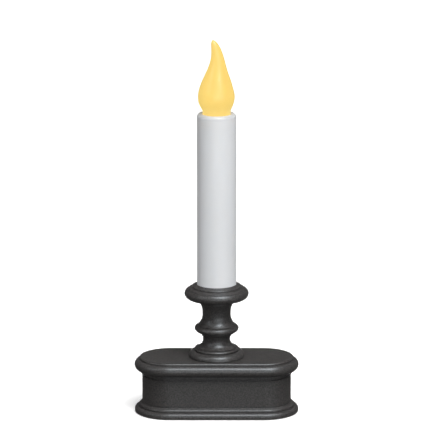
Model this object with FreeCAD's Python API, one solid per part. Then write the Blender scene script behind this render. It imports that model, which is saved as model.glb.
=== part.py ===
import FreeCAD, Part
import math
import os

# Battery window candle: an oblong moulded base, a turned-style stem with a cup, a candle
# sleeve and a flame-shaped diffuser. Millimetres, +Z up, origin at the middle of the base
# on the plane that the rubber feet rest on. X runs along the base, +Y is the back.

V = FreeCAD.Vector

# ------------------------------------------------------------------ driving dimensions
TOTAL_H = 247.6          # resting plane to the tip of the flame

# The base is a stadium: a straight middle and two half-round ends. Its mouldings are
# drawn as a section of r, the distance from the medial line, against z.
HALF_STRAIGHT = 30.7     # medial line, half its length
FOOT_R = 22.8            # outermost line of the foot
RIM_Z = 0.4              # underside of the foot rim
FOOT_BEAD_R = 2.15
FOOT_BEAD_Z = 2.25
STEP_R = 20.1            # second step of the foot
STEP_Z = 5.25
STEP_BEAD_R = 1.2
FOOT_TOP = 7.1           # where the foot's sloping top meets the wall
WALL_R = 17.9
WALL_T = 1.9
WALL_TOP = 26.7
GAP_Z = 25.3             # shadow gap at the top of the wall, under the cap
GAP_DEPTH = 0.85
JOINT_LIP_R = 16.9       # outside of the lip that locates the cap on the wall
JOINT_LIP_TOP = 28.6
FIT = 0.05               # play of a located joint, per side

FILLET_R = 18.7          # band between the wall and the roll edge
NOSE_R = 3.75            # roll edge of the cap
NOSE_CENTRE = (19.1, 32.2)
NOSE_END_DEG = 76
QUIRK = 0.38             # width and depth of the small grooves between mouldings
TOP_R = 19.7             # edge of the flat top, which stands above the roll edge
TOP_EDGE_R = 1.1
TOP_Z = 37.5
CAP_T = 2.0

# Closing plate with the battery tray
PLATE_Z = 1.0
PLATE_T = 2.0
PLATE_GAP = 0.15
PLATE_TOP = PLATE_Z + PLATE_T
PLATE_R = 20.75
RIM_INNER_R = PLATE_R + PLATE_GAP

SCREW_X = 42.0           # plate screws and the cap's long bosses
SCREW_Y = 5.0
BOSS_R = 2.6
SCREW_R = 1.15
SCREW_HEAD_R = 2.4
SCREW_TOP = 12.0

FEET_X = 40.5
FEET_Y = 12.4
FEET_R = 3.2
FEET_POCKET = 0.5

# Two AA cells side by side, pointing opposite ways
CELL_R = 7.1
CELL_BODY_L = 49.2
CELL_NUB_L = 1.3
CELL_NUB_R = 2.75
CELL_Y = 7.35
CELL_Z = PLATE_TOP + 0.4 + CELL_R
CELL_L = CELL_BODY_L + CELL_NUB_L
CONTACT_T = 0.4
SPRING_L = 5.7

TRAY_X0 = -32.1          # inside of the tray's left end wall
TRAY_L = 2 * CONTACT_T + SPRING_L + CELL_L
TRAY_X1 = TRAY_X0 + TRAY_L
TRAY_HALF_W = 14.85
TRAY_SIDE_T = 0.9
TRAY_END_T = 1.2
TRAY_CEILING = CELL_Z + CELL_R + 0.5
TRAY_TOP = TRAY_CEILING + 1.2

# Battery door
DOOR_X0 = -34.0          # edge of the opening, which is also the line the door turns on
DOOR_X1 = 28.9
DOOR_GAP = 0.3
DOOR_TAB_Y = 12.1
DOOR_TAB_W = 3.0
DOOR_TAB_REACH = 3.0
DOOR_TAB_Z0 = PLATE_TOP + 0.15
DOOR_TAB_T = 1.2
LATCH_W = 8.0
LATCH_T = 0.8
LATCH_X = TRAY_X1 + TRAY_END_T + 0.2
LATCH_TOP = 6.8

# Circuit board and slide switch
BOARD_X = 33.4
BOARD_W = 9.6
BOARD_HALF_L = 12.0
BOARD_Z = 7.4
BOARD_T = 1.2
BOARD_TOP = BOARD_Z + BOARD_T
BOARD_SCREW_Y = 9.6
SWITCH_CASE = (6.4, 12.4, BOARD_Z - PLATE_TOP)
SWITCH_TRAVEL = 2.0
KNOB = (2.6, 4.0)
KNOB_BOTTOM = 0.75
KNOB_TOP = 4.5
SLOT_PLAY = 0.3
WELL_DEPTH = 0.9

# Stem: radii and heights of its turned profile
STEM_BORE_R = 4.2
SPIGOT_R = 6.0
SPIGOT_Z = 35.0
OVOLO_R = 3.6
OVOLO_CENTRE = (14.6, 38.2)
RING_R = 1.05
RING_CENTRE = (13.55, 42.6)
LOW_FILLET = (12.9, 44.1)
LOW_COVE_R = 5.0
LOW_COVE_Z = 49.2
LOW_COVE_DEG = 68        # how far the cove turns, each way from its neck
LOW_NECK_R = 8.8
MID_BEAD_R = 2.1
MID_BEAD_CENTRE = (12.2, 56.55)
MID_BEAD_TOP_DEG = 85    # where the bead meets the upper cove in a crease
HIGH_NECK_R = 9.2
HIGH_COVE_R = 8.5
FLARE_R = 12.0
FLARE_Z = 67.4
FLARE_TOP_Z = 73.6
CUP_UNDER_Z = 76.7
CUP_NOSE_R = 3.3
CUP_NOSE_CENTRE_R = 17.55
CUP_NOSE_END_DEG = 60    # where the nose stops at the groove under the shoulder
LIP_R = 16.15
LIP_TOP = 85.4           # outer edge of the lip, which rises from here to the sleeve
LIP_INNER_TOP = 86.5
SOCKET_R = 12.85
SOCKET_FLOOR = 79.0
PLUG_R = 11.15           # ring inside the cup that the sleeve slides over
PLUG_TOP = 83.0
STEM_SCREW_X = 9.8
STEM_SCREW_TOP = 43.2

# Candle sleeve and what is in its top
SLEEVE_R = 12.7
SLEEVE_BORE_R = 11.3
SLEEVE_TOP = 199.7
SLEEVE_EDGE_R = 2.3
MOUTH_R = 9.35
MOUTH_Z = 199.15
COLLAR_R = 9.05
COLLAR_T = 1.0
HOLDER_R = 11.2
HOLDER_Z = 188.0
HOLDER_T = 4.0
HOLDER_SPIGOT_R = 7.9
LED_BOARD_Z = 193.8
LED_BOARD_T = 1.2
LED_BOARD_R = 6.3
LED_R = 2.5
LED_TOP = 203.6
LEAD_X = 1.27
LEAD_R = 0.25

# Flame: centre along X, radius and height of its round sections, foot to tip
FLAME_SECTIONS = [
    (0.0, 9.0, 199.6), (0.0, 9.15, 201.2), (-0.2, 10.9, 205.2), (-0.15, 11.9, 210.5),
    (-0.2, 11.0, 215.8), (0.0, 9.3, 221.1), (0.3, 7.2, 226.3), (0.6, 5.4, 231.6),
    (0.5, 4.1, 236.8), (-0.4, 3.1, 242.0), (-1.4, 2.1, 245.4), (-2.1, 0.9, 247.2),
    (-2.3, 0.3, TOTAL_H),
]
FLAME_WALL = 1.1
FLAME_INNER_COUNT = 9    # sections that the hollow follows

WIRE_R = 0.5


# ------------------------------------------------------------------ drawing helpers
class Outline:
    """A closed outline in (r, z), drawn as straight runs and arcs one after another."""

    def __init__(self, r, z):
        self.start = (r, z)
        self.at = (r, z)
        self.steps = []

    def to(self, r, z):
        self.steps.append(("line", self.at, (r, z)))
        self.at = (r, z)
        return self

    def arc(self, centre, radius, first_deg, last_deg):
        """Run straight to the arc's first point if it isn't there yet, then along the arc."""
        first, middle, last = [
            polar(centre, radius, a) for a in (first_deg, (first_deg + last_deg) / 2, last_deg)]
        if math.dist(self.at, first) > 1e-4:
            self.to(*first)
        self.steps.append(("arc", self.at, middle, last))
        self.at = last
        return self

    def quirk(self, depth, height):
        """A small square groove that goes in here and comes out above."""
        r, z = self.at
        return self.to(r - depth, z).to(r - depth, z + height).to(r, z + height)

    def face(self, place):
        """The closed outline as a face, with place() putting (r, z) into space."""
        steps = list(self.steps)
        if math.dist(self.at, self.start) > 1e-4:
            steps.append(("line", self.at, self.start))
        edges = []
        for step in steps:
            points = [place(*p) for p in step[1:]]
            if step[0] == "line":
                edges.append(Part.LineSegment(*points).toShape())
            else:
                edges.append(Part.Arc(*points).toShape())
        return Part.Face(Part.Wire(edges))


def polar(centre, radius, degrees):
    a = math.radians(degrees)
    return (centre[0] + radius * math.cos(a), centre[1] + radius * math.sin(a))


def turned(outline):
    """Revolve an outline about the Z axis."""
    face = outline.face(lambda r, z: V(r, 0, z))
    return face.revolve(V(0, 0, 0), V(0, 0, 1), 360)


def stadium(outline):
    """Carry an outline round the base: two straight sides and two half-round ends."""
    a = HALF_STRAIGHT
    solids = []
    for side in (1, -1):
        end = outline.face(lambda r, z: V(side * a, -side * r, z))
        solids.append(end.revolve(V(side * a, 0, 0), V(0, 0, 1), 180))
        run = outline.face(lambda r, z: V(-a, side * r, z))
        solids.append(run.extrude(V(2 * a, 0, 0)))
    return solids[0].multiFuse(solids[1:]).removeSplitter()


def block(x0, x1, y0, y1, z0, z1):
    return Part.makeBox(x1 - x0, y1 - y0, z1 - z0, V(x0, y0, z0))


def rod(radius, x, y, z0, z1):
    return Part.makeCylinder(radius, z1 - z0, V(x, y, z0))


def corners(x, y):
    return [(sx * x, sy * y) for sx in (1, -1) for sy in (1, -1)]


def soften(shape, radius, wanted):
    """Round the edges of a shape that wanted(edge) picks."""
    return shape.makeFillet(radius, [e for e in shape.Edges if wanted(e)])


def upright(edge):
    first, last = edge.Vertexes[0].Point, edge.Vertexes[-1].Point
    return abs(first.x - last.x) + abs(first.y - last.y) < 1e-6


def group(shapes):
    return Part.makeCompound(shapes)


def tube(points, radius):
    """A round wire along straight runs, joined by tangent arcs as large as the runs allow."""
    points = [V(*p) for p in points]
    edges = []
    at = points[0]
    for before, corner, after in zip(points, points[1:], points[2:]):
        back = (before - corner).normalize()
        ahead = (after - corner).normalize()
        half_turn = (math.pi - back.getAngle(ahead)) / 2
        reach = 0.45 * min(before.distanceToPoint(corner), corner.distanceToPoint(after))
        bend_r = reach / math.tan(half_turn)
        first = corner + back * reach
        last = corner + ahead * reach
        bisector = (back + ahead).normalize()
        centre = corner + bisector * (bend_r / math.cos(half_turn))
        middle = centre - bisector * bend_r
        edges.append(Part.LineSegment(at, first).toShape())
        edges.append(Part.Arc(first, middle, last).toShape())
        at = last
    edges.append(Part.LineSegment(at, points[-1]).toShape())
    path = Part.Wire(edges)
    section = Part.Wire(Part.makeCircle(radius, points[0], points[1] - points[0]))
    wire = path.makePipeShell([section], True, True)
    expected = math.pi * radius ** 2 * path.Length
    print("wire length %.1f, volume / (section x length) %.4f" % (path.Length, wire.Volume / expected))
    return wire


def cross_recess(x, y, z0, z1, reach=1.3, width=0.6):
    """A cross-head slot as a cutter."""
    along = block(x - reach, x + reach, y - width / 2, y + width / 2, z0, z1)
    across = block(x - width / 2, x + width / 2, y - reach, y + reach, z0, z1)
    return along.fuse(across)


def pan_screw(x, y, head_z, tip_z, head_r, head_h, shaft_r, drive):
    """A pan-head screw; tip_z below or above head_z sets which way it points."""
    way = 1 if tip_z > head_z else -1
    top = head_z - way * head_h
    outline = Outline(0, top).to(head_r * 0.7, top).to(head_r, head_z - way * head_h * 0.45)
    outline.to(head_r, head_z).to(shaft_r, head_z).to(shaft_r, tip_z - way * shaft_r).to(0.2, tip_z)
    outline.to(0, tip_z)
    screw = turned(outline)
    screw.translate(V(x, y, 0))
    low, high = sorted((top - way * 0.1, top + way * head_h * 0.55))
    return screw.cut(cross_recess(x, y, low, high, reach=drive))


# ------------------------------------------------------------------ base
def base_body():
    inner = WALL_R - WALL_T
    o = Outline(RIM_INNER_R, RIM_Z)
    o.to(FOOT_R - 0.3, RIM_Z).to(FOOT_R, RIM_Z + 0.3)
    o.arc((FOOT_R - FOOT_BEAD_R, FOOT_BEAD_Z), FOOT_BEAD_R, 0, 90)
    o.to(STEP_R, FOOT_BEAD_Z + FOOT_BEAD_R).quirk(QUIRK, QUIRK)
    o.arc((STEP_R - STEP_BEAD_R, STEP_Z), STEP_BEAD_R, 0, 90)
    o.to(WALL_R, FOOT_TOP).quirk(QUIRK, QUIRK).to(WALL_R, GAP_Z)
    o.to(WALL_R - GAP_DEPTH, GAP_Z).to(WALL_R - GAP_DEPTH, WALL_TOP)
    o.to(JOINT_LIP_R, WALL_TOP).to(JOINT_LIP_R, JOINT_LIP_TOP).to(inner, JOINT_LIP_TOP)
    o.to(inner, PLATE_TOP).to(RIM_INNER_R, PLATE_TOP)
    return stadium(o)


def base_cap():
    inner = JOINT_LIP_R + FIT
    under = TOP_Z - CAP_T
    o = Outline(inner, WALL_TOP)
    o.to(FILLET_R, WALL_TOP).to(FILLET_R, NOSE_CENTRE[1] - NOSE_R)
    o.arc(NOSE_CENTRE, NOSE_R, -90, NOSE_END_DEG)
    o.to(TOP_R, o.at[1]).quirk(QUIRK, QUIRK)
    o.arc((TOP_R - TOP_EDGE_R, TOP_Z - TOP_EDGE_R), TOP_EDGE_R, 0, 90)
    o.to(0, TOP_Z).to(0, under).to(inner, under)
    cap = stadium(o)
    for x, y in corners(SCREW_X, SCREW_Y):
        cap = cap.fuse(rod(BOSS_R, x, y, PLATE_TOP + 0.05, under))
    cap = cap.removeSplitter()
    for x, y in corners(SCREW_X, SCREW_Y):
        cap = cap.cut(rod(SCREW_R + FIT, x, y, PLATE_TOP, SCREW_TOP + 1))
    cap = cap.cut(rod(SPIGOT_R + 0.15, 0, 0, under - 1, TOP_Z + 1))
    for side in (1, -1):
        cap = cap.cut(rod(SCREW_R + 0.15, side * STEM_SCREW_X, 0, under - 1, TOP_Z + 1))
    return cap


def bottom_plate():
    o = Outline(0, PLATE_Z).to(PLATE_R - 0.3, PLATE_Z).to(PLATE_R, PLATE_Z + 0.3)
    o.to(PLATE_R, PLATE_TOP).to(0, PLATE_TOP)
    plate = stadium(o)
    half = TRAY_HALF_W
    # the tray: a lidded trough that is open downwards, standing round the opening
    outside = block(TRAY_X0 - TRAY_END_T, TRAY_X1 + TRAY_END_T, -half - TRAY_SIDE_T,
                    half + TRAY_SIDE_T, PLATE_TOP, TRAY_TOP)
    inside = block(TRAY_X0, TRAY_X1, -half, half, PLATE_TOP - 1, TRAY_CEILING)
    plate = plate.fuse(outside.cut(inside))
    # two webs tie the tray's left end to the plate
    for side in (1, -1):
        y = side * 6.0 - 0.5
        x = TRAY_X0 - TRAY_END_T
        web = Part.makePolygon([V(x, y, PLATE_TOP), V(x, y, TRAY_TOP - 3), V(x - 4.5, y, PLATE_TOP),
                                V(x, y, PLATE_TOP)])
        plate = plate.fuse(Part.Face(web).extrude(V(0, 1, 0)))
    # the door's opening, which also lifts the end walls clear of the door
    plate = plate.cut(block(DOOR_X0, DOOR_X1, -half, half, PLATE_Z - 1, PLATE_TOP + DOOR_GAP))
    # a low rib between the cells, under the tray's ceiling
    plate = plate.fuse(block(TRAY_X0 + 12, TRAY_X1 - 12, -0.6, 0.6, TRAY_CEILING - 2.2, TRAY_CEILING))
    for side in (1, -1):
        # doorways in the left end wall for the tabs of the door
        y = side * DOOR_TAB_Y
        plate = plate.cut(block(TRAY_X0 - TRAY_END_T - 0.1, TRAY_X0 + 0.1, y - DOOR_TAB_W / 2 - 0.3,
                                y + DOOR_TAB_W / 2 + 0.3, PLATE_TOP - 0.01, PLATE_TOP + 3.0))
        # slots in the right end wall for the solder tabs of the contacts
        y = side * CELL_Y
        plate = plate.cut(block(TRAY_X1 - 0.1, TRAY_X1 + TRAY_END_T + 0.1, y - 1.7, y + 1.7, 14.9, 15.7))
        # posts for the circuit board
        y = side * BOARD_SCREW_Y
        plate = plate.fuse(rod(2.2, BOARD_X, y, PLATE_TOP, BOARD_Z))
        plate = plate.cut(rod(0.8, BOARD_X, y, PLATE_TOP + 0.6, BOARD_Z + 1))
    for x, y in corners(SCREW_X, SCREW_Y):
        plate = plate.cut(rod(SCREW_R + 0.2, x, y, PLATE_Z - 1, PLATE_TOP + 1))
        plate = plate.cut(Part.makeCone(SCREW_HEAD_R + 0.1, SCREW_R + 0.2, 1.3, V(x, y, PLATE_Z)))
    for x, y in corners(FEET_X, FEET_Y):
        plate = plate.cut(rod(FEET_R, x, y, PLATE_Z - 1, PLATE_Z + FEET_POCKET))
    # the switch's well and slot
    well = block(BOARD_X - 3.6, BOARD_X + 3.6, -6.6, 6.6, PLATE_Z - 1, PLATE_Z + WELL_DEPTH)
    plate = plate.cut(soften(well, 1.2, upright))
    half_slot = KNOB[1] / 2 + SWITCH_TRAVEL + SLOT_PLAY
    plate = plate.cut(block(BOARD_X - KNOB[0] / 2 - SLOT_PLAY, BOARD_X + KNOB[0] / 2 + SLOT_PLAY,
                            -half_slot, half_slot, 0, PLATE_TOP + 1))
    return plate.removeSplitter()


def battery_door():
    half = TRAY_HALF_W - DOOR_GAP
    x0, x1 = DOOR_X0 + 0.2, DOOR_X1 - DOOR_GAP
    door = block(x0, x1, -half, half, PLATE_Z, PLATE_TOP)
    door = soften(door, 1.0, upright)
    for side in (1, -1):
        y = side * DOOR_TAB_Y
        low, high = y - DOOR_TAB_W / 2, y + DOOR_TAB_W / 2
        door = door.fuse(block(DOOR_X0 - DOOR_TAB_REACH, x0 + 1.0, low, high, DOOR_TAB_Z0,
                               DOOR_TAB_Z0 + DOOR_TAB_T))
        door = door.fuse(block(x0, x0 + 1.0, low, high, PLATE_Z + 0.5, DOOR_TAB_Z0 + DOOR_TAB_T))
    # the latch: the door is notched round a springy U that stands inside the base
    half_w = LATCH_W / 2
    door = door.cut(block(LATCH_X + LATCH_T, x1 + 1, -half_w - 0.8, half_w + 0.8, 0, PLATE_TOP + 1))
    mid_r = (x1 - LATCH_X) / 2
    bend = Part.makeCylinder(mid_r, LATCH_W, V(LATCH_X + mid_r, -half_w, LATCH_TOP - mid_r), V(0, 1, 0))
    bend = bend.cut(Part.makeCylinder(mid_r - LATCH_T, LATCH_W + 2,
                                      V(LATCH_X + mid_r, -half_w - 1, LATCH_TOP - mid_r), V(0, 1, 0)))
    bend = bend.cut(block(LATCH_X - 1, x1 + 1, -half_w - 1, half_w + 1, 0, LATCH_TOP - mid_r))
    inner_leg = block(LATCH_X, LATCH_X + LATCH_T, -half_w, half_w, PLATE_TOP - 0.5, LATCH_TOP - mid_r)
    outer_leg = block(x1 - LATCH_T, x1, -half_w, half_w, PLATE_Z, LATCH_TOP - mid_r)
    nib = block(x1 - 0.2, x1 + 0.05, -half_w + 1, half_w - 1, PLATE_TOP + 0.2, PLATE_TOP + 1.0)
    thumb = block(x1 - 2.0, x1, -half_w, half_w, PLATE_Z, PLATE_Z + 0.8)
    for piece in (bend, inner_leg, outer_leg, nib, thumb):
        door = door.fuse(piece)
    # shallow grip grooves across the door, beside the latch
    for i in range(4):
        x = x1 - 7.5 - 2.0 * i
        door = door.cut(block(x - 0.4, x + 0.4, -6, 6, PLATE_Z - 1, PLATE_Z + 0.5))
    return door.removeSplitter()


def rubber_feet():
    feet = []
    for x, y in corners(FEET_X, FEET_Y):
        o = Outline(0, 0).to(FEET_R - 0.7, 0).to(FEET_R - 0.2, 0.5)
        o.to(FEET_R - 0.05, PLATE_Z + FEET_POCKET).to(0, PLATE_Z + FEET_POCKET)
        foot = turned(o)
        foot.translate(V(x, y, 0))
        feet.append(foot)
    return group(feet)


def plate_screws():
    screws = []
    for x, y in corners(SCREW_X, SCREW_Y):
        z = PLATE_Z + 0.1
        o = Outline(0, z).to(SCREW_HEAD_R, z).to(SCREW_R, z + 1.2).to(SCREW_R, SCREW_TOP - 1.2)
        o.to(0.2, SCREW_TOP).to(0, SCREW_TOP)
        screw = turned(o)
        screw.translate(V(x, y, 0))
        screws.append(screw.cut(cross_recess(x, y, z - 0.5, z + 0.7)))
    return group(screws)


# ------------------------------------------------------------------ batteries and contacts
def battery_cell(y, way):
    """An AA cell lying along X; way is +1 with its positive end to the right."""
    x0, x1 = TRAY_X0 + CONTACT_T, TRAY_X1 - CONTACT_T
    positive = x1 if way > 0 else x0
    place = lambda r, along: V(positive - way * along, y + r, CELL_Z)
    nub, shoulder, end = CELL_NUB_L, CELL_NUB_L + 0.6, CELL_L
    o = Outline(0, 0).to(CELL_NUB_R - 0.4, 0).to(CELL_NUB_R, 0.4).to(CELL_NUB_R, nub)
    o.to(CELL_R - 0.6, nub).arc((CELL_R - 0.6, shoulder), 0.6, -90, 0)
    o.to(CELL_R, shoulder + 2.2).to(CELL_R - 0.35, shoulder + 2.7).to(CELL_R, shoulder + 3.2)
    o.to(CELL_R, end - 0.5).arc((CELL_R - 0.5, end - 0.5), 0.5, 0, 90).to(0, end)
    return o.face(place).revolve(V(0, y, CELL_Z), V(1, 0, 0), 360)


def contact_plate(x0, y0, y1):
    plate = block(x0, x0 + CONTACT_T, y0, y1, CELL_Z - 4.8, CELL_Z + 4.8)
    return plate.makeFillet(1.0, [e for e in plate.Edges if abs(e.Vertexes[0].X - e.Vertexes[-1].X) > 0.1])


def end_contact(y):
    """A contact at the right end of the tray, with a solder tab through the wall."""
    plate = contact_plate(TRAY_X1 - CONTACT_T, y - 4.6, y + 4.6)
    tab = block(TRAY_X1 - CONTACT_T, TRAY_X1 + 3.3, y - 1.5, y + 1.5, 15.1, 15.1 + CONTACT_T)
    return plate.fuse(tab).removeSplitter()


def cell_spring(x_plate, y, way):
    """A conical spring along X, wide end flat on the contact plate, its end pointing way."""
    wire_r = 0.35
    wide_r, tip_r = 4.1, 2.2
    flat_turns, live_turns, points_per_turn = 0.5, 3.0, 12
    height = SPRING_L - 2 * wire_r
    route = []
    for i in range(int(points_per_turn * (live_turns + 2 * flat_turns)) + 1):
        turn = i / points_per_turn
        risen = min(max((turn - flat_turns) / live_turns, 0), 1)
        coil_r = wide_r + (tip_r - wide_r) * risen
        x = x_plate + way * (wire_r + height * risen)
        angle = 2 * math.pi * turn
        route.append((x, y + coil_r * math.cos(angle), CELL_Z + coil_r * math.sin(angle)))
    return tube(route, wire_r)


# ------------------------------------------------------------------ board and switch
def circuit_board():
    half = BOARD_W / 2
    board = block(BOARD_X - half, BOARD_X + half, -BOARD_HALF_L, BOARD_HALF_L, BOARD_Z, BOARD_TOP)
    board = soften(board, 1.0, upright)
    for side in (1, -1):
        board = board.cut(rod(1.0, BOARD_X, side * BOARD_SCREW_Y, BOARD_Z - 1, BOARD_TOP + 1))
    return board


def timer_chip():
    z = BOARD_TOP
    body = block(BOARD_X - 1.95, BOARD_X + 1.95, -2.45, 2.45, z + 0.15, z + 1.6)
    top_edges = [e for e in body.Edges if min(v.Z for v in e.Vertexes) > z + 1]
    body = body.makeChamfer(0.3, top_edges)
    for i in range(4):
        y = (i - 1.5) * 1.27
        for side in (1, -1):
            near, far = sorted((side * 1.8, side * 2.3))
            body = body.fuse(block(BOARD_X + near, BOARD_X + far, y - 0.2, y + 0.2, z + 0.5, z + 0.7))
            near, far = sorted((side * 2.1, side * 2.3))
            body = body.fuse(block(BOARD_X + near, BOARD_X + far, y - 0.2, y + 0.2, z, z + 0.7))
            near, far = sorted((side * 2.1, side * 2.75))
            body = body.fuse(block(BOARD_X + near, BOARD_X + far, y - 0.2, y + 0.2, z, z + 0.2))
    return body.removeSplitter()


def board_capacitor():
    r, h = 2.0, 5.2
    z = BOARD_TOP
    o = Outline(0, z).to(r - 0.2, z).to(r, z + 0.2).to(r, z + 0.9).to(r - 0.2, z + 1.1)
    o.to(r - 0.2, z + 1.3).to(r, z + 1.5).to(r, z + h - 0.3).arc((r - 0.3, z + h - 0.3), 0.3, 0, 90)
    o.to(0, z + h)
    can = turned(o)
    can.translate(V(BOARD_X - 2.6, 6.1, 0))
    return can


def board_resistors():
    parts = []
    for i in range(4):
        y = (i - 1.5) * 2.4
        x = BOARD_X + 3.85
        parts.append(block(x - 0.6, x + 0.6, y - 1.0, y + 1.0, BOARD_TOP, BOARD_TOP + 0.5))
    return group(parts)


def timing_crystal():
    r, length = 1.05, 5.6
    x, y0, z = BOARD_X - 3.1, -3.4, BOARD_TOP + 1.05
    can = Part.makeCylinder(r, length, V(x, y0, z), V(0, -1, 0))
    can = soften(can, 0.3, lambda e: e.Vertexes[0].Y < y0 - 1)
    for side in (1, -1):
        can = can.fuse(Part.makeCylinder(0.15, 1.2, V(x + side * 0.4, y0, z), V(0, 1, 0)))
        can = can.fuse(rod(0.15, x + side * 0.4, y0 + 1.1, BOARD_TOP, z + 0.1))
    return can.removeSplitter()


def slide_switch_case():
    w, l, h = SWITCH_CASE
    case = block(BOARD_X - w / 2, BOARD_X + w / 2, -l / 2, l / 2, PLATE_TOP, PLATE_TOP + h)
    case = soften(case, 0.4, upright)
    half = KNOB[1] / 2 + SWITCH_TRAVEL + SLOT_PLAY
    slot = block(BOARD_X - KNOB[0] / 2 - SLOT_PLAY, BOARD_X + KNOB[0] / 2 + SLOT_PLAY, -half, half,
                 PLATE_TOP - 1, KNOB_TOP + 0.4)
    return case.cut(slot)


def switch_knob():
    w, l = KNOB
    knob = block(BOARD_X - w / 2, BOARD_X + w / 2, -l / 2, l / 2, KNOB_BOTTOM, KNOB_TOP)
    for i in range(3):
        y = (i - 1) * 1.1
        knob = knob.cut(block(BOARD_X - w, BOARD_X + w, y - 0.25, y + 0.25, 0, KNOB_BOTTOM + 0.4))
    return knob


def board_screws():
    return group([pan_screw(BOARD_X, side * BOARD_SCREW_Y, BOARD_TOP, 4.2, 1.7, 1.1, 0.76, 0.9)
                  for side in (1, -1)])


# ------------------------------------------------------------------ stem
def stem():
    nose_centre = (CUP_NOSE_CENTRE_R, CUP_UNDER_Z + CUP_NOSE_R)
    o = Outline(STEM_BORE_R, SPIGOT_Z).to(SPIGOT_R, SPIGOT_Z).to(SPIGOT_R, TOP_Z)
    o.to(OVOLO_CENTRE[0] + OVOLO_R - 0.25, TOP_Z)
    o.arc(OVOLO_CENTRE, OVOLO_R, 0, 90)
    o.arc(RING_CENTRE, RING_R, -80, 70)
    o.to(LOW_FILLET[0], o.at[1]).quirk(QUIRK, QUIRK).to(*LOW_FILLET)
    low_centre = (LOW_NECK_R + LOW_COVE_R, LOW_COVE_Z)
    o.arc(low_centre, LOW_COVE_R, -180 + LOW_COVE_DEG, -180 - LOW_COVE_DEG)
    o.arc(MID_BEAD_CENTRE, MID_BEAD_R, -97, MID_BEAD_TOP_DEG)
    crease_r, crease_z = o.quirk(QUIRK, QUIRK).at
    run = HIGH_NECK_R + HIGH_COVE_R - crease_r
    rise = math.sqrt(HIGH_COVE_R ** 2 - run ** 2)
    high_centre = (HIGH_NECK_R + HIGH_COVE_R, crease_z + rise)
    o.arc(high_centre, HIGH_COVE_R, -180 + math.degrees(math.atan2(rise, run)), -180)
    flare_deg = math.degrees(math.asin((FLARE_TOP_Z - FLARE_Z) / FLARE_R))
    o.arc((HIGH_NECK_R + FLARE_R, FLARE_Z), FLARE_R, 180, 180 - flare_deg)
    neck_top_r = o.at[0]
    o.to(neck_top_r + 0.1, CUP_UNDER_Z - 0.7)
    o.arc((neck_top_r + 0.8, CUP_UNDER_Z - 0.7), 0.7, 180, 90)
    o.arc(nose_centre, CUP_NOSE_R, -90, CUP_NOSE_END_DEG)
    nose_end = o.at
    o.to(*polar(nose_end, QUIRK, CUP_NOSE_END_DEG + 180)).to(*polar(o.at, QUIRK, CUP_NOSE_END_DEG + 90))
    o.arc((LIP_R + 0.15, nose_end[1] - 2.66), 3.84, 47, 84)
    o.to(LIP_R + 0.15, LIP_TOP - 1.2).quirk(QUIRK, QUIRK)
    o.arc((LIP_R - 0.8, LIP_TOP - 0.8), 0.8, 0, 90)
    o.to(SOCKET_R + 0.35, LIP_INNER_TOP).to(SOCKET_R, LIP_INNER_TOP - 0.35)
    o.to(SOCKET_R, SOCKET_FLOOR).to(PLUG_R, SOCKET_FLOOR).to(PLUG_R, PLUG_TOP - 0.5)
    o.to(PLUG_R - 0.5, PLUG_TOP).to(PLUG_R - 1.6, PLUG_TOP).to(PLUG_R - 1.6, SOCKET_FLOOR)
    o.to(STEM_BORE_R, SOCKET_FLOOR)
    body = turned(o)
    for side in (1, -1):
        body = body.cut(rod(SCREW_R + FIT, side * STEM_SCREW_X, 0, TOP_Z - 1, STEM_SCREW_TOP + 0.4))
    return body


def stem_screws():
    under = TOP_Z - CAP_T
    return group([pan_screw(side * STEM_SCREW_X, 0, under, STEM_SCREW_TOP, 2.4, 1.6, SCREW_R, 1.2)
                  for side in (1, -1)])


# ------------------------------------------------------------------ candle
def candle_sleeve():
    shoulder = SLEEVE_R - SLEEVE_EDGE_R
    o = Outline(SLEEVE_BORE_R, SOCKET_FLOOR).to(SLEEVE_R - 0.3, SOCKET_FLOOR)
    o.to(SLEEVE_R, SOCKET_FLOOR + 0.3)
    o.arc((shoulder, SLEEVE_TOP - SLEEVE_EDGE_R), SLEEVE_EDGE_R, 0, 90)
    o.to(MOUTH_R + 0.55, SLEEVE_TOP - 0.08)
    o.arc((MOUTH_R + 0.55, MOUTH_Z - 0.08), 0.55, 90, 180)
    o.to(MOUTH_R, SLEEVE_TOP - 2.2).to(SLEEVE_BORE_R, SLEEVE_TOP - 3.6)
    return turned(o)


def flame():
    def circle(x, r, z):
        return Part.Wire(Part.makeCircle(r, V(x, 0, z)))

    skin = Part.makeLoft([circle(*s) for s in FLAME_SECTIONS], True, False)
    inner = [(x, r - FLAME_WALL, z) for x, r, z in FLAME_SECTIONS[:FLAME_INNER_COUNT]]
    hollow = Part.makeLoft([circle(*s) for s in inner], True, False)
    foot_z = FLAME_SECTIONS[0][2]
    collar = rod(COLLAR_R, 0, 0, HOLDER_Z + HOLDER_T, foot_z)
    bore = rod(COLLAR_R - COLLAR_T, 0, 0, HOLDER_Z + HOLDER_T - 1, foot_z)
    return skin.fuse(collar).cut(hollow).cut(bore)


def led_holder():
    top = HOLDER_Z + HOLDER_T
    rim = LED_BOARD_Z + LED_BOARD_T + 0.2
    o = Outline(4.6, HOLDER_Z).to(HOLDER_R, HOLDER_Z).to(HOLDER_R, top).to(HOLDER_SPIGOT_R, top)
    o.to(HOLDER_SPIGOT_R, rim).to(LED_BOARD_R + 0.1, rim).to(LED_BOARD_R + 0.1, LED_BOARD_Z)
    o.to(4.6, LED_BOARD_Z)
    return turned(o)


def led_board():
    board = rod(LED_BOARD_R, 0, 0, LED_BOARD_Z, LED_BOARD_Z + LED_BOARD_T)
    for side in (1, -1):
        board = board.cut(rod(LEAD_R + 0.1, side * LEAD_X, 0, LED_BOARD_Z - 1, LED_BOARD_Z + 3))
    return board


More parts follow.
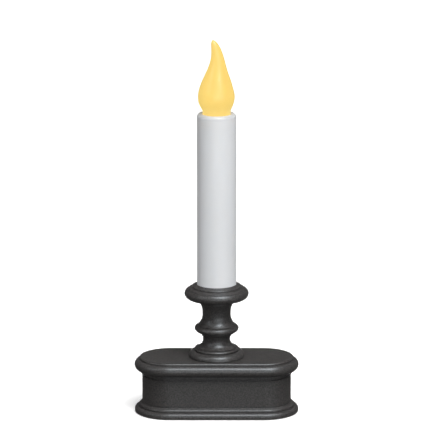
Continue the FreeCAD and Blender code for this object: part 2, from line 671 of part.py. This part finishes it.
def led():
    z = LED_BOARD_Z + LED_BOARD_T
    o = Outline(0, z).to(LED_R + 0.4, z).to(LED_R + 0.4, z + 1.0).to(LED_R, z + 1.0)
    o.arc((0, LED_TOP - LED_R), LED_R, 0, 90)
    lamp = turned(o)
    for side in (1, -1):
        lamp = lamp.fuse(rod(LEAD_R, side * LEAD_X, 0, LED_BOARD_Z - 0.6, z + 0.5))
    return lamp


# ------------------------------------------------------------------ wires
def led_wire(side):
    """From the board, over the battery tray and up the stem and sleeve to the LED board."""
    pad_x, y = BOARD_X - 3.7, 1.6 * side
    drop = 1.2 * (1 - side)
    x = side * LEAD_X
    return tube([
        (pad_x, y, BOARD_TOP), (pad_x, y, 18.0), (pad_x - 6.0, y, 25.5 - drop),
        (12.0, 0.7 * y, 30.0 - drop), (x, 0, 31.5 - drop), (x, 0, 60.0),
        (1.3 * x, 0.6 * side, 105.0), (x, -0.5 * side, 150.0), (x, 0, LED_BOARD_Z - 0.6)], WIRE_R)


def battery_wire(side):
    """From a contact's solder tab, in a loop over to the board."""
    tab_x, tab_z = TRAY_X1 + 2.7, 15.1 + CONTACT_T
    pad_x = BOARD_X + 3.2
    return tube([
        (tab_x, side * CELL_Y, tab_z), (tab_x, side * CELL_Y, 21.5), (tab_x + 3.4, side * 7.6, 26.2),
        (pad_x - 1.0, side * 7.5, 24.4), (pad_x, side * 6.6, 17.5), (pad_x, side * 6.6, BOARD_TOP)],
        WIRE_R)


# ------------------------------------------------------------------ assembly
NODES = {
    "base_body": base_body,
    "base_cap": base_cap,
    "bottom_plate": bottom_plate,
    "battery_door": battery_door,
    "rubber_feet": rubber_feet,
    "plate_screws": plate_screws,
    "battery_cell_front": lambda: battery_cell(-CELL_Y, 1),
    "battery_cell_rear": lambda: battery_cell(CELL_Y, -1),
    "contact_bridge_plate": lambda: contact_plate(TRAY_X0, -CELL_Y - 4.6, CELL_Y + 4.6),
    "contact_bridge_spring": lambda: cell_spring(TRAY_X0 + CONTACT_T, -CELL_Y, 1),
    "contact_positive_plate": lambda: end_contact(-CELL_Y),
    "contact_negative_plate": lambda: end_contact(CELL_Y),
    "contact_negative_spring": lambda: cell_spring(TRAY_X1 - CONTACT_T, CELL_Y, -1),
    "circuit_board": circuit_board,
    "timer_chip": timer_chip,
    "board_capacitor": board_capacitor,
    "board_resistors": board_resistors,
    "timing_crystal": timing_crystal,
    "slide_switch_case": slide_switch_case,
    "switch_knob": switch_knob,
    "board_screws": board_screws,
    "stem": stem,
    "stem_screws": stem_screws,
    "candle_sleeve": candle_sleeve,
    "flame": flame,
    "led_holder": led_holder,
    "led_board": led_board,
    "led": led,
    "wire_led_red": lambda: led_wire(1),
    "wire_led_black": lambda: led_wire(-1),
    "wire_battery_red": lambda: battery_wire(-1),
    "wire_battery_black": lambda: battery_wire(1),
}

os.makedirs("parts", exist_ok=True)
for name, make in NODES.items():
    shape = make()
    shape.exportStep("parts/%s.step" % name)
    solids = len(shape.Solids)
    print("%-24s solids %d  valid %s  volume %.1f" % (name, solids, shape.isValid(), shape.Volume))
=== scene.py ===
"""Battery window candle: materials, detailed pieces, floor, light and camera round the CAD frame."""
import math

import bpy
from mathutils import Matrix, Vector


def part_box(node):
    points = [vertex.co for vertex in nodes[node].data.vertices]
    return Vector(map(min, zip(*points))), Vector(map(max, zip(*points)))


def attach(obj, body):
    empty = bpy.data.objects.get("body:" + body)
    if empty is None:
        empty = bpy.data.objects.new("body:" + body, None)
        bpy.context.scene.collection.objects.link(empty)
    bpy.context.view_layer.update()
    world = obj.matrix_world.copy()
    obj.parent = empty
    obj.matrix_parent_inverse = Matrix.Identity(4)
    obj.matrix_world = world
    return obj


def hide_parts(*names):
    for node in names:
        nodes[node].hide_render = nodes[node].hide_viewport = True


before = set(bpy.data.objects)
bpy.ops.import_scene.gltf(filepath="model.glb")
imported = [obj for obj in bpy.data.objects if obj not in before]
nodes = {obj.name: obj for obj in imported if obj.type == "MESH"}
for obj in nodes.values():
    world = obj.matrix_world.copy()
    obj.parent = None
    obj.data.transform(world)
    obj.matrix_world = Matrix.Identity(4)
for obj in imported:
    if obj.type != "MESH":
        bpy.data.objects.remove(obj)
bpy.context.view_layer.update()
MM = 0.001


# ------------------------------------------------------------------ camera
SENSOR_WIDTH = 36.0
LENS = 331.0                                     # focal length, in millimetres like the sensor
DISTANCE = 2.590
ELEVATION = math.radians(13.907)
AIM = Vector((0.6 * MM, 0.0, 130.5 * MM))


def make_camera():
    """The front view from a little above, with a long lens."""
    data = bpy.data.cameras.new("camera")
    data.sensor_width = SENSOR_WIDTH
    data.lens = LENS
    data.clip_end = 20.0
    camera = bpy.data.objects.new("camera", data)
    bpy.context.scene.collection.objects.link(camera)
    camera.location = AIM + DISTANCE * Vector((0.0, -math.cos(ELEVATION), math.sin(ELEVATION)))
    camera.rotation_mode = "QUATERNION"
    camera.rotation_quaternion = (AIM - camera.location).to_track_quat("-Z", "Y")
    bpy.context.scene.camera = camera


make_camera()


# ------------------------------------------------------------------ material kit
class Look:
    """A Principled material with helpers for its node graph, in each piece's own coordinates."""

    def __init__(self, name, **sockets):
        self.material = bpy.data.materials.new(name)
        self.material.use_nodes = True
        self.tree = self.material.node_tree
        self.tree.nodes.clear()
        self.shader = self.add("ShaderNodeBsdfPrincipled")
        output = self.add("ShaderNodeOutputMaterial")
        self.link(self.shader.outputs["BSDF"], output.inputs["Surface"])
        self.place = self.add("ShaderNodeTexCoord").outputs["Object"]
        for socket, value in sockets.items():
            self.shader.inputs[socket.replace("_", " ")].default_value = value

    def add(self, kind, **inputs):
        """A new node, with constant values for its inputs."""
        node = self.tree.nodes.new(kind)
        for socket, value in inputs.items():
            node.inputs[socket].default_value = value
        return node

    def link(self, source, socket):
        self.tree.links.new(source, socket)

    def stretched(self, scale):
        """The piece's coordinates, scaled per axis: a small factor draws the pattern out along it."""
        mapping = self.add("ShaderNodeMapping", Scale=scale)
        self.link(self.place, mapping.inputs["Vector"])
        return mapping.outputs["Vector"]

    def noise(self, size, detail=2.0, roughness=0.5, place=None):
        """Noise whose features are about size metres across."""
        node = self.add("ShaderNodeTexNoise", Scale=1.0 / size, Detail=detail, Roughness=roughness)
        self.link(place or self.place, node.inputs["Vector"])
        return node.outputs["Fac"]

    def ramp(self, value, *stops):
        """Maps a value through (position, colour) stops."""
        node = self.add("ShaderNodeValToRGB")
        self.link(value, node.inputs["Fac"])
        elements = node.color_ramp.elements
        while len(elements) < len(stops):
            elements.new(0.5)
        for element, (position, colour) in zip(elements, stops):
            element.position = position
            element.color = (*colour, 1.0)
        return node.outputs["Color"]

    def spread(self, value, low, high, start=0.3, end=0.7):
        """Maps start..end of a value to low..high."""
        node = self.tree.nodes.new("ShaderNodeMapRange")
        self.link(value, node.inputs["Value"])
        for socket, number in zip(("From Min", "From Max", "To Min", "To Max"), (start, end, low, high)):
            node.inputs[socket].default_value = number
        return node.outputs["Result"]

    def scaled(self, colour, factor):
        """A colour times a factor that varies over the surface."""
        node = self.add("ShaderNodeVectorMath")
        node.operation = "SCALE"
        self.link(colour, node.inputs[0])
        self.link(factor, node.inputs["Scale"])
        return node.outputs["Vector"]

    def axis(self, letter):
        """The distance along one of the piece's axes."""
        node = self.add("ShaderNodeSeparateXYZ")
        self.link(self.place, node.inputs["Vector"])
        return node.outputs[letter]

    def bump(self, *heights):
        """Stacks (height, depth in metres) pairs into one bump."""
        normal = None
        for height, depth in heights:
            node = self.add("ShaderNodeBump", Strength=1.0, Distance=depth)
            self.link(height, node.inputs["Height"])
            if normal:
                self.link(normal, node.inputs["Normal"])
            normal = node.outputs["Normal"]
        self.link(normal, self.shader.inputs["Normal"])

    def colour(self, source):
        self.link(source, self.shader.inputs["Base Color"])

    def roughness(self, source):
        self.link(source, self.shader.inputs["Roughness"])


# ------------------------------------------------------------------ materials
def bronze_plastic():
    """Antique bronze-black paint: a fine speckled grain under a satin finish with cool highlights."""
    look = Look("bronze_plastic", IOR=1.5, Specular_IOR_Level=0.62,
                Specular_Tint=(0.88, 0.95, 1.0, 1.0))
    grain = look.noise(0.9 * MM, 3.0, 0.65)
    cloud = look.noise(14 * MM, 2.0)
    dark, light = (0.0215, 0.0200, 0.0195), (0.069, 0.0655, 0.0640)
    look.colour(look.ramp(grain, (0.35, dark), (0.65, light)))
    look.roughness(look.spread(cloud, 0.33, 0.39))
    look.bump((grain, 0.014 * MM), (look.noise(0.35 * MM, 2.0), 0.006 * MM))
    return look.material


def underside_plastic(name="underside_plastic", tone=1.0):
    """Unpainted black plastic with an eroded mould texture."""
    look = Look(name, IOR=1.46)
    grain = look.noise(0.5 * MM, 3.0, 0.65)
    look.colour(look.ramp(grain, (0.3, (0.011 * tone,) * 3), (0.7, (0.019 * tone,) * 3)))
    look.roughness(look.spread(look.noise(9 * MM), 0.52, 0.62))
    look.bump((grain, 0.03 * MM))
    return look.material


def foot_rubber():
    """Black rubber, greyed by dust."""
    look = Look("foot_rubber", Specular_IOR_Level=0.35)
    dust = look.noise(1.6 * MM, 5.0, 0.7)
    look.colour(look.ramp(dust, (0.35, (0.035, 0.035, 0.036)), (0.75, (0.085, 0.083, 0.08))))
    look.roughness(look.spread(dust, 0.78, 0.92))
    look.bump((look.noise(0.3 * MM, 2.0), 0.02 * MM))
    return look.material


def metal(name, dark, light, rough=0.3, drawn=(1, 1, 1)):
    """Plated or bare metal, with fine drawing marks along the axis whose factor is small."""
    look = Look(name, Metallic=1.0)
    marks = look.noise(0.12 * MM, 2.0, 0.6, look.stretched(drawn))
    patch = look.noise(2.5 * MM, 4.0, 0.6)
    look.colour(look.ramp(patch, (0.3, dark), (0.7, light)))
    look.roughness(look.spread(marks, rough - 0.07, rough + 0.1))
    look.bump((marks, 0.002 * MM))
    return look.material


def sleeve_plastic():
    """White satin plastic, a little translucent, with faint flow marks, a faint painted glow and painted
    shade on its rounded top.
    """
    # Painted glow: the even cool-white emission stands in for fill light on the sleeve; no lamp lights
    # it from inside.
    look = Look("sleeve_plastic", IOR=1.5, Subsurface_Weight=0.35, Subsurface_Scale=0.004,
                Subsurface_Radius=(1.0, 0.9, 0.8), Emission_Color=(0.94, 0.97, 1.0, 1.0),
                Emission_Strength=0.17)
    flow = look.noise(20 * MM, 3.0, 0.5, look.stretched((1.0, 1.0, 0.12)))
    white = look.ramp(flow, (0.3, (0.53, 0.545, 0.56)), (0.7, (0.57, 0.58, 0.595)))
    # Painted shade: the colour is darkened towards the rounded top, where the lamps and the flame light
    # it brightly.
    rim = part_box("candle_sleeve")[1][2]
    shade = look.spread(look.axis("Z"), 1.0, 0.72, rim - 3.0 * MM, rim - 0.8 * MM)
    look.colour(look.scaled(white, shade))
    look.roughness(look.spread(look.noise(6 * MM, 3.0), 0.34, 0.42))
    look.bump((look.noise(0.7 * MM, 2.0), 0.004 * MM))
    return look.material


def flame_plastic():
    """Translucent amber plastic, lit evenly from inside, a little deeper in colour in places."""
    look = Look("flame_plastic", IOR=1.46, Subsurface_Weight=0.3, Subsurface_Scale=0.003,
                Subsurface_Radius=(1.0, 0.6, 0.2), Coat_Weight=0.2, Coat_Roughness=0.2)
    cloud = look.noise(9 * MM, 2.0, 0.5, look.stretched((1.0, 1.0, 0.4)))
    look.colour(look.ramp(cloud, (0.3, (0.13, 0.078, 0.018)), (0.7, (0.15, 0.092, 0.022))))
    depth = look.noise(14 * MM, 2.0, 0.5, look.stretched((1.0, 1.0, 0.3)))
    glow = look.ramp(depth, (0.3, (1.0, 0.725, 0.198)), (0.7, (0.99, 0.71, 0.185)))
    look.link(glow, look.shader.inputs["Emission Color"])
    look.link(look.spread(cloud, 0.84, 0.88), look.shader.inputs["Emission Strength"])
    look.roughness(look.spread(look.noise(5 * MM), 0.34, 0.40))
    look.bump((look.noise(0.6 * MM, 2.0), 0.006 * MM))
    return look.material


def laminate():
    """Circuit board: green mask over copper tracks."""
    look = Look("board_laminate", IOR=1.5, Coat_Weight=0.3)
    tracks = look.add("ShaderNodeTexBrick", Scale=1.0 / (7 * MM))
    look.link(look.place, tracks.inputs["Vector"])
    tracks.inputs["Mortar Size"].default_value = 0.05
    track = look.spread(tracks.outputs["Fac"], 0.0, 1.0, 0.0, 1.0)
    look.colour(look.ramp(track, (0.2, (0.012, 0.085, 0.028)), (0.8, (0.03, 0.17, 0.05))))
    look.roughness(look.spread(look.noise(1.2 * MM, 3.0), 0.28, 0.42))
    look.bump((track, 0.03 * MM), (look.noise(0.4 * MM), 0.004 * MM))
    return look.material


def moulded(name, colour, rough=0.45, grain=0.02, shade=0.82, **sockets):
    """A small plastic, resin or enamel piece, with a fine moulded grain.

    Its tone varies from shade times the colour up to the colour, and grain is in millimetres."""
    look = Look(name, **sockets)
    darker = tuple(shade * c for c in colour)
    look.colour(look.ramp(look.noise(1.1 * MM, 3.0), (0.3, darker), (0.7, colour)))
    look.roughness(look.spread(look.noise(0.8 * MM, 3.0), rough - 0.06, rough + 0.08))
    look.bump((look.noise(0.25 * MM, 2.0), grain * MM))
    return look.material


def led_resin():
    """Amber tinted lens, brightest in its dome."""
    look = Look("led_resin", Transmission_Weight=0.6, IOR=1.52, Emission_Color=(1.0, 0.6, 0.2, 1.0))
    look.colour(look.ramp(look.noise(2 * MM), (0.3, (0.95, 0.70, 0.35)), (0.7, (1.0, 0.8, 0.45))))
    glow_from, glow_full = 198 * MM, 203 * MM
    glow = look.spread(look.axis("Z"), 0.5, 4.0, glow_from, glow_full)
    look.link(glow, look.shader.inputs["Emission Strength"])
    look.roughness(look.spread(look.noise(1 * MM), 0.06, 0.14))
    return look.material


BRONZE = bronze_plastic()
UNDERSIDE = underside_plastic()
NICKEL = metal("contact_nickel", (0.55, 0.53, 0.48), (0.72, 0.70, 0.65), 0.24, (1, 1, 0.05))
LAMINATE = laminate()
RED_WIRE = moulded("wire_red", (0.45, 0.012, 0.010), 0.34, 0.004)
BLACK_WIRE = moulded("wire_black", (0.012, 0.012, 0.013), 0.34, 0.004)
ZINC = metal("screw_zinc", (0.42, 0.43, 0.44), (0.62, 0.62, 0.60), 0.32)
SURFACES = {
    "base_body": BRONZE,
    "base_cap": BRONZE,
    "stem": BRONZE,
    "bottom_plate": UNDERSIDE,
    "battery_door": underside_plastic("door_plastic", 1.12),
    "switch_knob": underside_plastic("knob_plastic", 0.75),
    "rubber_feet": foot_rubber(),
    "plate_screws": ZINC,
    "board_screws": ZINC,
    "stem_screws": ZINC,
    "contact_bridge_plate": NICKEL,
    "contact_bridge_spring": NICKEL,
    "contact_positive_plate": NICKEL,
    "contact_negative_plate": NICKEL,
    "contact_negative_spring": NICKEL,
    "timing_crystal": metal("crystal_can", (0.50, 0.50, 0.51), (0.66, 0.66, 0.66), 0.22, (0.05, 1, 1)),
    "slide_switch_case": metal("switch_steel", (0.40, 0.41, 0.41), (0.58, 0.58, 0.56), 0.34,
                               (1, 0.05, 1)),
    "circuit_board": LAMINATE,
    "led_board": LAMINATE,
    "timer_chip": moulded("chip_resin", (0.014, 0.014, 0.015), 0.5, 0.01),
    "board_resistors": moulded("resistor_enamel", (0.035, 0.032, 0.03), 0.42, 0.01),
    "board_capacitor": moulded("capacitor_sleeve", (0.012, 0.018, 0.06), 0.3, 0.006),
    "candle_sleeve": sleeve_plastic(),
    "flame": flame_plastic(),
    "led_holder": moulded("holder_plastic", (0.68, 0.67, 0.63), 0.45, 0.02),
    "led": led_resin(),
    "wire_led_red": RED_WIRE,
    "wire_battery_red": RED_WIRE,
    "wire_led_black": BLACK_WIRE,
    "wire_battery_black": BLACK_WIRE,
}
for node_name, surface in SURFACES.items():
    mesh = nodes[node_name].data
    mesh.materials.clear()
    mesh.materials.append(surface)


# ------------------------------------------------------------------ battery cells
def ring_faces(ring, sides):
    """The faces between one ring of points and the ring before it."""
    a, b = (ring - 1) * sides, ring * sides
    return [(a + k, b + k, b + (k + 1) % sides, a + (k + 1) % sides) for k in range(sides)]


NUB, WASHER, BAND, JACKET = range(4)
CELL_FINISHES = (
    metal("cell_steel", (0.50, 0.50, 0.49), (0.68, 0.68, 0.66), 0.26),
    moulded("cell_washer", (0.09, 0.088, 0.085), 0.6, 0.008),
    moulded("cell_band", (0.02, 0.075, 0.20), 0.24, 0.002, 0.93, Coat_Weight=0.4),
    moulded("cell_jacket", (0.44, 0.45, 0.46), 0.26, 0.002, 0.95, Coat_Weight=0.4))
# (distance from the nub's face, radius, finish of the strip that ends here), in millimetres
CELL_PROFILE = (
    (0.00, 0.00, NUB), (0.00, 2.20, NUB), (0.10, 2.50, NUB), (0.38, 2.73, NUB), (1.34, 2.73, NUB),
    (1.50, 2.95, NUB), (1.50, 4.30, NUB), (1.44, 4.32, WASHER), (1.42, 4.45, WASHER),
    (1.42, 5.70, WASHER), (1.35, 5.75, BAND), (1.31, 5.95, BAND), (1.31, 6.25, BAND),
    (1.42, 6.62, BAND), (1.68, 6.92, BAND), (2.00, 7.06, BAND), (3.90, 7.08, BAND),
    (4.15, 6.98, BAND), (4.45, 6.76, BAND), (4.75, 6.93, BAND), (5.00, 7.07, BAND),
    (15.0, 7.09, BAND), (49.4, 7.09, JACKET), (49.95, 7.00, JACKET), (50.30, 6.74, JACKET),
    (50.44, 6.35, JACKET), (50.40, 6.05, JACKET), (50.28, 5.90, JACKET), (50.20, 5.85, NUB),
    (50.20, 4.90, NUB), (50.32, 4.70, NUB), (50.47, 4.30, NUB), (50.50, 2.60, NUB),
    (50.42, 2.20, NUB), (50.38, 0.00, NUB))
CELL_SIDES = 72
CREASE = math.radians(40)


def make_cell(node, way):
    """A cell with a shrunk jacket, a crimp groove, a washer round its nub and a dished foot.

    Its nub points along +X where way is 1, and along -X where it is -1."""
    low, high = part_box(node)
    start = high[0] if way > 0 else low[0]
    y, z = (low[1] + high[1]) / 2, (low[2] + high[2]) / 2
    points, faces, finishes = [], [], []
    for along, radius, _ in CELL_PROFILE:
        for k in range(CELL_SIDES):
            turn = 2 * math.pi * k / CELL_SIDES
            points.append((start - way * along * MM, y + radius * MM * math.cos(turn),
                           z + radius * MM * math.sin(turn)))
    for ring, (_, _, finish) in enumerate(CELL_PROFILE[1:], 1):
        for face in ring_faces(ring, CELL_SIDES):
            faces.append(face if way > 0 else face[::-1])
            finishes.append(finish)
    mesh = bpy.data.meshes.new(node + "_detail")
    mesh.from_pydata(points, [], faces)
    for finish in CELL_FINISHES:
        mesh.materials.append(finish)
    for polygon, finish in zip(mesh.polygons, finishes):
        polygon.material_index = finish
        polygon.use_smooth = True
    mesh.set_sharp_from_angle(angle=CREASE)
    cell = bpy.data.objects.new(node + "_detail", mesh)
    bpy.context.scene.collection.objects.link(cell)
    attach(cell, "candle")
    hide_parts(node)


make_cell("battery_cell_front", 1)
make_cell("battery_cell_rear", -1)


# ------------------------------------------------------------------ floor and light
FLOOR_SIDES = 96
FLOOR_FLAT = 2.5                                 # radius of the level part
FLOOR_SWEEP = 2.5                                # radius of the sweep up to the wall
FLOOR_STEPS = 12
FLOOR_INNER_RINGS = (0.2, 0.6)                   # they keep the shading of the level part level
WALL_HEIGHT = 3.0
GLOW_NEAR, GLOW_FAR = 0.48, 1.0                  # emission near the object and away from it
GLOW_FROM, GLOW_TO = 0.5, 2.0                    # distances between which it rises


def make_floor():
    """A plain pale floor under the feet, swept up into a round backdrop far from the object.

    It is lit to white, a little more with distance, and gives no light or shadow to the object."""
    profile = [(radius, 0.0) for radius in (*FLOOR_INNER_RINGS, FLOOR_FLAT)]
    for k in range(1, FLOOR_STEPS + 1):
        turn = math.pi / 2 * k / FLOOR_STEPS
        profile.append((FLOOR_FLAT + FLOOR_SWEEP * math.sin(turn), FLOOR_SWEEP * (1 - math.cos(turn))))
    profile.append((FLOOR_FLAT + FLOOR_SWEEP, FLOOR_SWEEP + WALL_HEIGHT))
    points = []
    for radius, z in profile:
        for k in range(FLOOR_SIDES):
            turn = 2 * math.pi * k / FLOOR_SIDES
            points.append((radius * math.cos(turn), radius * math.sin(turn), z))
    faces = [tuple(range(FLOOR_SIDES))]
    for ring in range(1, len(profile)):
        faces += ring_faces(ring, FLOOR_SIDES)
    mesh = bpy.data.meshes.new("floor")
    mesh.from_pydata(points, [], faces)
    mesh.polygons.foreach_set("use_smooth", [True] * len(faces))
    look = Look("floor", IOR=1.3, Roughness=0.7, Emission_Color=(1.0, 1.0, 1.0, 1.0))
    look.colour(look.ramp(look.noise(0.6), (0.3, (0.90,) * 3), (0.7, (0.92,) * 3)))
    distance = look.add("ShaderNodeVectorMath")
    distance.operation = "LENGTH"
    look.link(look.place, distance.inputs[0])
    glow = look.spread(distance.outputs["Value"], GLOW_NEAR, GLOW_FAR, GLOW_FROM, GLOW_TO)
    look.link(glow, look.shader.inputs["Emission Strength"])
    mesh.materials.append(look.material)
    floor = bpy.data.objects.new("floor", mesh)
    bpy.context.scene.collection.objects.link(floor)
    floor.visible_diffuse = False
    floor.visible_glossy = False
    floor.visible_shadow = False


# name: (place, height it is aimed at, (width, height), watts)
SOFTBOXES = {
    "key": ((0.25, -0.70, 1.36), 0.08, (0.9, 0.6), 12.0),
    "front": ((0.42, -1.60, 0.34), 0.08, (2.0, 0.9), 10.2),
    "fill": ((-0.95, -0.60, 0.75), 0.08, (0.6, 0.6), 2.0),
    "rear": ((0.0, 1.50, -0.25), 0.12, (0.4, 0.3), 8.5),
    "highlight": ((0.36, -0.70, 0.92), 0.07, (0.2, 0.7), 3.4),
}
SKY_DIRECTION = (-0.25, 0.38, -0.90)
SKY_SPREAD = math.radians(40)
SKY_STRENGTH = 1.2
ROOM_TINT = (1.0, 0.96, 0.94, 1.0)
ROOM_STRENGTH = 0.11


def make_lamp(name, kind, power, facing):
    """A lamp that shines along the facing direction."""
    data = bpy.data.lights.new(name, kind)
    data.energy = power
    lamp = bpy.data.objects.new(name, data)
    bpy.context.scene.collection.objects.link(lamp)
    lamp.rotation_mode = "QUATERNION"
    lamp.rotation_quaternion = facing.to_track_quat("-Z", "Y")
    return lamp


def make_light():
    """Softboxes high and low in front, to the left and low behind, a wide sky and a dim room."""
    for name, (place, aim_height, size, power) in SOFTBOXES.items():
        place = Vector(place)
        lamp = make_lamp(name, "AREA", power, Vector((0.0, 0.0, aim_height)) - place)
        lamp.location = place
        lamp.data.shape = "RECTANGLE"
        lamp.data.size, lamp.data.size_y = size
    sky = make_lamp("sky_panel", "SUN", SKY_STRENGTH, Vector(SKY_DIRECTION))
    sky.data.angle = SKY_SPREAD
    world = bpy.data.worlds.new("room")
    bpy.context.scene.world = world
    world.use_nodes = True
    background = world.node_tree.nodes["Background"]
    background.inputs["Color"].default_value = ROOM_TINT
    background.inputs["Strength"].default_value = ROOM_STRENGTH


make_floor()
make_light()
bpy.context.scene.view_settings.view_transform = "Standard"
